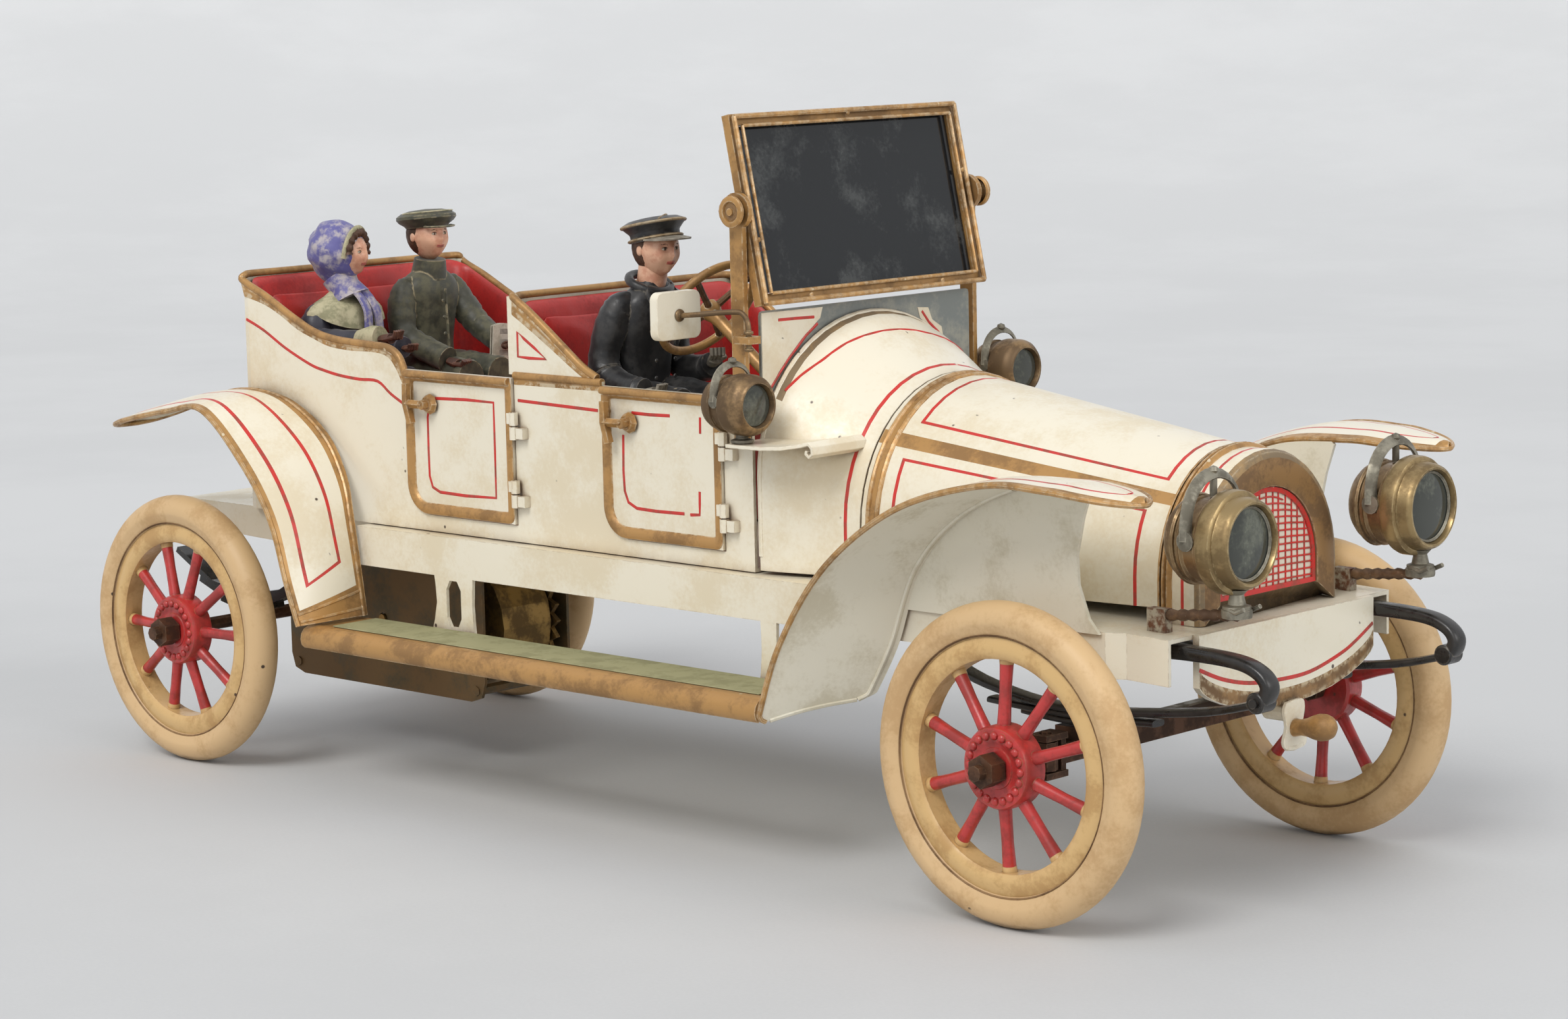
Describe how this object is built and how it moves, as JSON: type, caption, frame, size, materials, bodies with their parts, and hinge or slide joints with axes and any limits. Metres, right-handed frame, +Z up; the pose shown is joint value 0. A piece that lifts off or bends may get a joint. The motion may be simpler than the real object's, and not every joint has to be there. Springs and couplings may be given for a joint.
{
  "type": "tin toy touring car",
  "caption": "Open clockwork tin touring car with opening doors, tilting windscreen, steered front wheels, mudguards, lamps and seated toy riders.",
  "frame": {"origin": "on the ground under the middle of the car's length and width", "axes": "+X forwards, +Y to the car's left, +Z up"},
  "size_m": [0.421, 0.1536, 0.1932],
  "materials": {
    "aged_brass": "tarnished",
    "black_paint": "gloss enamel",
    "brown_iron": "rusty",
    "cream_paint": "aged enamel",
    "dark_glass": "dark",
    "driver_cloth": "painted composition",
    "dull_steel": "oily",
    "gold_bronze": "worn bronze paint",
    "green_mat": "matt",
    "olive_cloth": "painted composition",
    "red_paint": "satin enamel",
    "tan_rubber": "aged",
    "violet_cloth": "painted composition"
  },
  "bodies": {
    "car_body": {"body_tub": "cream_paint", "bonnet": "cream_paint", "chassis_frame": "cream_paint", "dash_plate": "dull_steel", "driver": "driver_cloth", "front_axle_beam": "brown_iron", "front_mudguard_left": "cream_paint", "front_mudguard_right": "cream_paint", "front_seat": "red_paint", "front_spring_left": "black_paint", "front_spring_right": "black_paint", "grille": "red_paint", "headlamp_glass_left": "dark_glass", "headlamp_glass_right": "dark_glass", "headlamp_left": "aged_brass", "headlamp_right": "aged_brass", "lady_passenger": "violet_cloth", "man_passenger": "olive_cloth", "motor_frame": "dull_steel", "radiator": "cream_paint", "rear_mudguard_left": "cream_paint", "rear_mudguard_right": "cream_paint", "rear_seat": "red_paint", "rear_spring_left": "black_paint", "rear_spring_right": "black_paint", "running_board_left": "green_mat", "running_board_right": "green_mat", "scuttle": "cream_paint", "sidelamp_left": "aged_brass", "sidelamp_right": "aged_brass", "stanchion_left": "gold_bronze", "stanchion_right": "gold_bronze"},
    "rear_wheels": {"rear_axle": "dull_steel", "rear_wheel_right": "red_paint", "rear_wheel_left": "red_paint", "rear_tyre_right": "tan_rubber", "rear_tyre_left": "tan_rubber"},
    "spring_drum": {"spring_drum": "aged_brass"},
    "first_gear": {"first_gear": "aged_brass"},
    "second_gear": {"second_gear": "aged_brass"},
    "knuckle_right": {"steering_knuckle_right": "dull_steel"},
    "knuckle_left": {"steering_knuckle_left": "dull_steel"},
    "tie_rod": {"tie_rod": "dull_steel"},
    "front_wheel_right": {"front_wheel_right": "red_paint", "front_tyre_right": "tan_rubber"},
    "front_wheel_left": {"front_wheel_left": "red_paint", "front_tyre_left": "tan_rubber"},
    "steering_wheel": {"steering_wheel": "gold_bronze"},
    "windscreen": {"windscreen_frame": "gold_bronze", "windscreen_glass": "dark_glass"},
    "mirror": {"mirror": "cream_paint"},
    "starting_crank": {"starting_crank": "gold_bronze"},
    "rear_door_right": {"rear_door_right": "cream_paint"},
    "rear_handle_right": {"rear_handle_right": "gold_bronze"},
    "rear_door_left": {"rear_door_left": "cream_paint"},
    "rear_handle_left": {"rear_handle_left": "gold_bronze"},
    "front_door_right": {"front_door_right": "cream_paint"},
    "front_handle_right": {"front_handle_right": "gold_bronze"},
    "front_door_left": {"front_door_left": "cream_paint"},
    "front_handle_left": {"front_handle_left": "gold_bronze"}
  },
  "joints": [
    {"name": "rear_axle_spin", "type": "hinge", "parent": "car_body", "child": "rear_wheels", "pos_m": [-0.17075, 0, 0.04], "axis": [0, 1, 0], "continuous": true},
    {"name": "second_gear_spin", "type": "hinge", "parent": "car_body", "child": "second_gear", "pos_m": [-0.1535, 0, 0.04], "axis": [0, 1, 0], "continuous": true},
    {"name": "first_gear_spin", "type": "hinge", "parent": "car_body", "child": "first_gear", "pos_m": [-0.1355, 0, 0.04], "axis": [0, 1, 0], "continuous": true},
    {"name": "spring_drum_spin", "type": "hinge", "parent": "car_body", "child": "spring_drum", "pos_m": [-0.11, 0, 0.04], "axis": [0, 1, 0], "continuous": true},
    {"name": "steer_right", "type": "hinge", "parent": "car_body", "child": "knuckle_right", "pos_m": [0.14955, -0.05, 0.04], "axis": [0, 0, 1], "range_deg": [-15, 15]},
    {"name": "steer_left", "type": "hinge", "parent": "car_body", "child": "knuckle_left", "pos_m": [0.14955, 0.05, 0.04], "axis": [0, 0, 1], "range_deg": [-15, 15]},
    {"name": "tie_rod_pivot", "type": "hinge", "parent": "knuckle_right", "child": "tie_rod", "pos_m": [0.13555, -0.05, 0.04], "axis": [0, 0, 1], "range_deg": [-15, 15]},
    {"name": "steering_wheel_turn", "type": "hinge", "parent": "car_body", "child": "steering_wheel", "pos_m": [0.00815, -0.02, 0.1403], "axis": [0.7965, 0, -0.6046], "range_deg": [-75, 75]},
    {"name": "front_wheel_right_spin", "type": "hinge", "parent": "knuckle_right", "child": "front_wheel_right", "pos_m": [0.14955, -0.0639, 0.04], "axis": [0, 1, 0], "continuous": true},
    {"name": "front_wheel_left_spin", "type": "hinge", "parent": "knuckle_left", "child": "front_wheel_left", "pos_m": [0.14955, 0.0639, 0.04], "axis": [0, 1, 0], "continuous": true},
    {"name": "windscreen_tilt", "type": "hinge", "parent": "car_body", "child": "windscreen", "pos_m": [0.04475, 0, 0.169], "axis": [0, 1, 0], "range_deg": [-35, 35]},
    {"name": "mirror_swing", "type": "hinge", "parent": "car_body", "child": "mirror", "pos_m": [0.05045, -0.048, 0.142], "axis": [0, 0, 1], "range_deg": [0, 60]},
    {"name": "starting_crank_spin", "type": "hinge", "parent": "car_body", "child": "starting_crank", "pos_m": [0.18565, 0, 0.0475], "axis": [1, 0, 0], "continuous": true},
    {"name": "rear_door_right_hinge", "type": "hinge", "parent": "car_body", "child": "rear_door_right", "pos_m": [-0.04315, -0.0457, 0.0795], "axis": [0, 0, 1], "range_deg": [0, 75]},
    {"name": "rear_handle_right_turn", "type": "hinge", "parent": "rear_door_right", "child": "rear_handle_right", "pos_m": [-0.07865, -0.044, 0.1112], "axis": [0, -1, 0], "range_deg": [0, 90]},
    {"name": "rear_door_left_hinge", "type": "hinge", "parent": "car_body", "child": "rear_door_left", "pos_m": [-0.04315, 0.0457, 0.0795], "axis": [0, 0, -1], "range_deg": [0, 75]},
    {"name": "rear_handle_left_turn", "type": "hinge", "parent": "rear_door_left", "child": "rear_handle_left", "pos_m": [-0.07865, 0.044, 0.1112], "axis": [0, 1, 0], "range_deg": [0, 90]},
    {"name": "front_door_right_hinge", "type": "hinge", "parent": "car_body", "child": "front_door_right", "pos_m": [0.03775, -0.0457, 0.0795], "axis": [0, 0, 1], "range_deg": [0, 75]},
    {"name": "front_handle_right_turn", "type": "hinge", "parent": "front_door_right", "child": "front_handle_right", "pos_m": [0.00225, -0.044, 0.1112], "axis": [0, -1, 0], "range_deg": [0, 90]},
    {"name": "front_door_left_hinge", "type": "hinge", "parent": "car_body", "child": "front_door_left", "pos_m": [0.03775, 0.0457, 0.0795], "axis": [0, 0, -1], "range_deg": [0, 75]},
    {"name": "front_handle_left_turn", "type": "hinge", "parent": "front_door_left", "child": "front_handle_left", "pos_m": [0.00225, 0.044, 0.1112], "axis": [0, 1, 0], "range_deg": [0, 90]}
  ],
  "couplings": [
    {"joint": "second_gear_spin", "follows": "rear_axle_spin", "ratio": -0.4375},
    {"joint": "first_gear_spin", "follows": "rear_axle_spin", "ratio": 0.18015},
    {"joint": "spring_drum_spin", "follows": "rear_axle_spin", "ratio": -0.046705},
    {"joint": "steer_left", "follows": "steer_right", "ratio": 1},
    {"joint": "tie_rod_pivot", "follows": "steer_right", "ratio": -1},
    {"joint": "steering_wheel_turn", "follows": "steer_right", "ratio": -5}
  ]
}
